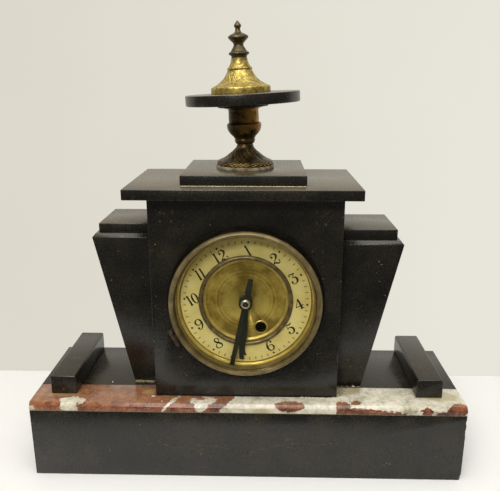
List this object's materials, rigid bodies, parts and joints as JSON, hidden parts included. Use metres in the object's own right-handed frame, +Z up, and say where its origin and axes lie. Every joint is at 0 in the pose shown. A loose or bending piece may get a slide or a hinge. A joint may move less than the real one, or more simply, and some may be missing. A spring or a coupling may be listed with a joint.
{
  "type": "mantel clock",
  "caption": "Stepped stone mantel clock with wings, an urn on top, a glazed round dial with hands, a spring-driven wheel train and a door at the back.",
  "frame": {"origin": "middle of the base, at the level that it stands on", "axes": "+X to the right seen from the front, the dial faces -Y, +Z up"},
  "size_m": [0.37, 0.1088, 0.3787],
  "materials": {
    "slate": "satin polished",
    "marble": "polished",
    "brass": "aged",
    "gilt": "aged, embossed",
    "enamel": "cream, matt",
    "steel": "plain",
    "blued_steel": "blued",
    "glass": "clear",
    "iron": "plain"
  },
  "bodies": {
    "clock_case": {"back_plate": "brass", "back_ring": "brass", "balance_cock": "brass", "bezel_seat": "brass", "case_back": "slate", "case_front": "slate", "case_left_side": "slate", "case_right_side": "slate", "cornice_slab": "slate", "dial_centre": "brass", "dial_feet": "brass", "dial_ring": "enamel", "front_plate": "brass", "hinge_pins": "brass", "left_end_bar": "slate", "left_wing": "slate", "left_wing_cap": "slate", "marble_strip": "marble", "movement_straps": "brass", "plate_pillars": "brass", "plinth_back": "slate", "plinth_bottom": "slate", "plinth_front": "slate", "plinth_left_end": "slate", "plinth_right_end": "slate", "plinth_top": "slate", "right_end_bar": "slate", "right_wing": "slate", "right_wing_cap": "slate", "strap_screws": "steel", "top_step_slab": "slate", "urn_cup": "gilt", "urn_disc": "slate", "urn_foot": "brass", "urn_knob": "brass", "urn_lid": "gilt", "urn_tie_rod": "iron"},
    "bezel_door": {"bezel_ring": "brass", "bezel_glass": "glass"},
    "back_door": {"back_door": "brass"},
    "minute_hand": {"minute_hand": "blued_steel", "cannon_pinion": "steel", "hand_collet": "steel"},
    "minute_wheel": {"minute_wheel": "brass"},
    "hour_hand": {"hour_hand": "blued_steel", "hour_wheel": "brass"},
    "barrel": {"barrel": "brass", "mainspring": "steel"},
    "intermediate_wheel": {"intermediate_wheel": "brass"},
    "centre_wheel": {"centre_wheel": "brass"},
    "third_wheel": {"third_wheel": "brass"},
    "fourth_wheel": {"fourth_wheel": "brass"},
    "escape_wheel": {"escape_wheel": "brass"},
    "winding_arbor": {"winding_arbor": "steel"},
    "click": {"click": "steel"},
    "pallet_lever": {"pallet_lever": "steel"},
    "balance": {"balance_wheel": "brass", "hairspring": "steel"},
    "regulator": {"regulator": "steel"}
  },
  "joints": [
    {"name": "bezel_hinge", "type": "hinge", "parent": "clock_case", "child": "bezel_door", "pos_m": [-0.06044, -0.042, 0.12612], "axis": [0.4633, 0, -0.8862], "range_deg": [0, 110]},
    {"name": "back_door_hinge", "type": "hinge", "parent": "clock_case", "child": "back_door", "pos_m": [-0.0538, 0.0488, 0.12959], "axis": [-0.4633, 0, 0.8862], "range_deg": [0, 110]},
    {"name": "minute_hand_turn", "type": "hinge", "parent": "clock_case", "child": "minute_hand", "pos_m": [-0.0008, -0.0385, 0.1573], "axis": [0, 1, 0], "continuous": true},
    {"name": "minute_wheel_turn", "type": "hinge", "parent": "clock_case", "child": "minute_wheel", "pos_m": [-0.00878, -0.0275, 0.15313], "axis": [0, 1, 0], "continuous": true},
    {"name": "hour_hand_turn", "type": "hinge", "parent": "clock_case", "child": "hour_hand", "pos_m": [-0.0008, -0.0385, 0.1573], "axis": [0, 1, 0], "continuous": true},
    {"name": "centre_wheel_turn", "type": "hinge", "parent": "clock_case", "child": "centre_wheel", "pos_m": [-0.0008, -0.0115, 0.1573], "axis": [0, 1, 0], "continuous": true},
    {"name": "barrel_turn", "type": "hinge", "parent": "clock_case", "child": "barrel", "pos_m": [0.01171, -0.0105, 0.13337], "axis": [0, 1, 0], "continuous": true},
    {"name": "intermediate_wheel_turn", "type": "hinge", "parent": "clock_case", "child": "intermediate_wheel", "pos_m": [0.01115, -0.0115, 0.15331], "axis": [0, 1, 0], "continuous": true},
    {"name": "third_wheel_turn", "type": "hinge", "parent": "clock_case", "child": "third_wheel", "pos_m": [-0.00957, -0.0115, 0.16531], "axis": [0, 1, 0], "continuous": true},
    {"name": "fourth_wheel_turn", "type": "hinge", "parent": "clock_case", "child": "fourth_wheel", "pos_m": [-0.00235, -0.0115, 0.17322], "axis": [0, 1, 0], "continuous": true},
    {"name": "escape_wheel_turn", "type": "hinge", "parent": "clock_case", "child": "escape_wheel", "pos_m": [-0.0073, -0.0115, 0.18095], "axis": [0, 1, 0], "continuous": true},
    {"name": "winding_arbor_turn", "type": "hinge", "parent": "clock_case", "child": "winding_arbor", "pos_m": [0.01171, -0.0185, 0.13337], "axis": [0, 1, 0], "continuous": true},
    {"name": "click_lift", "type": "hinge", "parent": "clock_case", "child": "click", "pos_m": [0.00434, -0.0265, 0.12467], "axis": [0, -1, 0], "range_deg": [0, 12], "stiffness_Nm_per_rad": 0.0002, "springref_deg": -11.46},
    {"name": "pallet_lever_rock", "type": "hinge", "parent": "clock_case", "child": "pallet_lever", "pos_m": [-0.01563, -0.0115, 0.18204], "axis": [0, 1, 0], "range_deg": [-8, 8]},
    {"name": "balance_swing", "type": "hinge", "parent": "clock_case", "child": "balance", "pos_m": [-0.02532, 0.0065, 0.178], "axis": [0, 1, 0], "range_deg": [-150, 150], "stiffness_Nm_per_rad": 0.00005},
    {"name": "regulator_turn", "type": "hinge", "parent": "clock_case", "child": "regulator", "pos_m": [-0.02532, 0.0125, 0.178], "axis": [0, 1, 0], "range_deg": [-30, 30]}
  ],
  "couplings": [
    {"joint": "intermediate_wheel_turn", "follows": "centre_wheel_turn", "ratio": -0.16667},
    {"joint": "barrel_turn", "follows": "centre_wheel_turn", "ratio": 0.027778},
    {"joint": "third_wheel_turn", "follows": "centre_wheel_turn", "ratio": -8},
    {"joint": "fourth_wheel_turn", "follows": "centre_wheel_turn", "ratio": 60},
    {"joint": "escape_wheel_turn", "follows": "centre_wheel_turn", "ratio": -480},
    {"joint": "minute_wheel_turn", "follows": "minute_hand_turn", "ratio": -0.33333},
    {"joint": "hour_hand_turn", "follows": "minute_hand_turn", "ratio": 0.083333}
  ]
}
